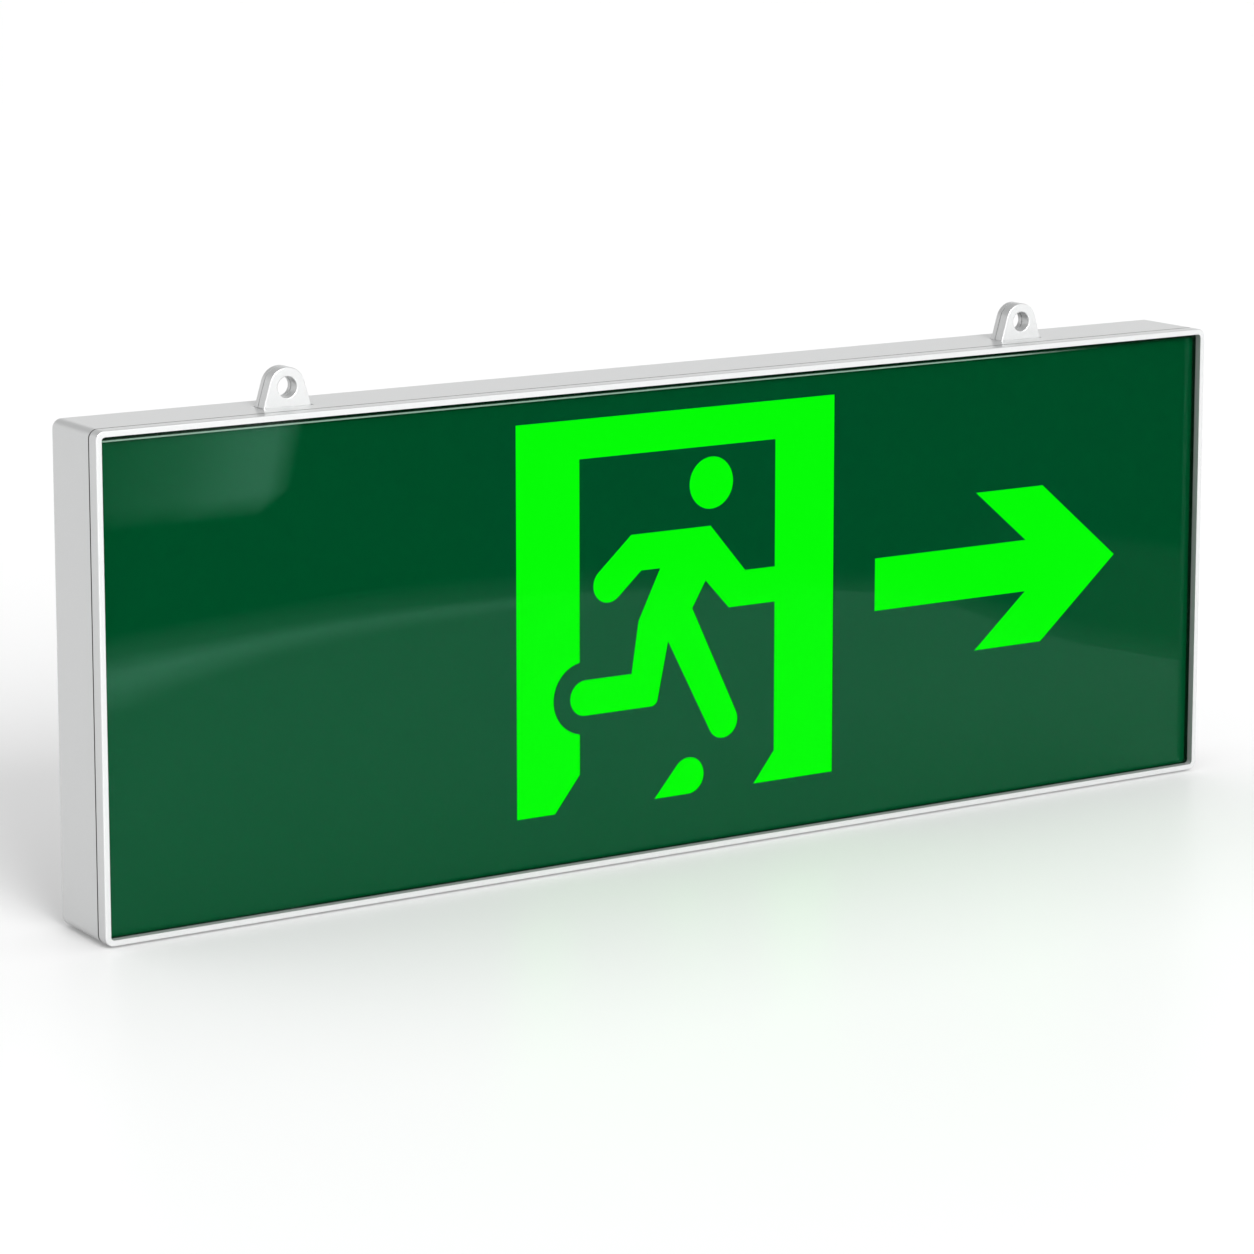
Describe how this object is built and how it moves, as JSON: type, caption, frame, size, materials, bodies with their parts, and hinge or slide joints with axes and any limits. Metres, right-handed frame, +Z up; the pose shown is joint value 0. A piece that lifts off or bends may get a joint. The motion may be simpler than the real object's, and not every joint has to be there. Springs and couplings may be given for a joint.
{
  "type": "emergency exit sign light",
  "caption": "Slim hanging emergency exit sign with a lit running-figure and arrow legend, two push-down hanger tabs on top and a test button on the end.",
  "frame": {"origin": "middle of the bottom face of the case, which the sign stands on", "axes": "+Z up, +X along the sign to the viewer's right, the lit front faces -Y"},
  "size_m": [0.36, 0.027, 0.1434],
  "materials": {
    "case_plastic": "moulded plastic with satin silver paint",
    "clear_pane": "clear polished acrylic",
    "dark_print": "dark green print on film",
    "glow_plastic": "lit bright green diffusing sheet",
    "white_plastic": "white moulded plastic",
    "led_board": "white solder mask on aluminium",
    "led_package": "phosphor resin",
    "plated_screw": "zinc plated",
    "black_rubber": "black rubber",
    "circuit_board": "green solder mask",
    "dark_component": "black component body",
    "fuse_glass": "glass tube with plated caps",
    "battery_sleeve": "shrink sleeve",
    "lamp_resin": "tinted lamp resin",
    "button_plastic": "black moulded plastic",
    "lead_sheath": "red and black wire sheath"
  },
  "bodies": {
    "housing": {"rear_case": "case_plastic", "front_bezel": "case_plastic", "sign_pane": "clear_pane", "legend_film": "dark_print", "glow_sheet": "glow_plastic", "reflector_tray": "white_plastic", "led_board_door": "led_board", "led_board_arrow": "led_board", "leds_door": "led_package", "leds_arrow": "led_package", "tray_screws": "plated_screw", "keeper_left": "white_plastic", "keeper_right": "white_plastic", "keeper_screws": "plated_screw", "case_screws": "plated_screw", "cable_grommet": "black_rubber", "driver_board": "circuit_board", "board_screws": "plated_screw", "transformer": "dark_component", "capacitors": "dark_component", "mains_terminal": "white_plastic", "fuse": "fuse_glass", "fuse_clips": "plated_screw", "board_sockets": "white_plastic", "battery_pack": "battery_sleeve", "battery_clips": "white_plastic", "clip_screws": "plated_screw", "panel_board": "circuit_board", "indicator_lamps": "lamp_resin", "push_switch": "dark_component", "battery_leads": "lead_sheath", "lamp_leads": "lead_sheath", "link_leads": "lead_sheath", "panel_cable": "lead_sheath"},
    "left_tab": {"hanger_left": "case_plastic"},
    "right_tab": {"hanger_right": "case_plastic"},
    "button": {"test_button": "button_plastic", "switch_plunger": "dark_component"}
  },
  "joints": [
    {"name": "left_tab_slide", "type": "slide", "parent": "housing", "child": "left_tab", "axis": [0, 0, 1], "range_m": [-0.0104, 0]},
    {"name": "right_tab_slide", "type": "slide", "parent": "housing", "child": "right_tab", "axis": [0, 0, 1], "range_m": [-0.0104, 0]},
    {"name": "button_press", "type": "slide", "parent": "housing", "child": "button", "axis": [1, 0, 0], "range_m": [-0.001, 0], "stiffness_N_per_m": 400, "springref_m": 0.0008}
  ]
}
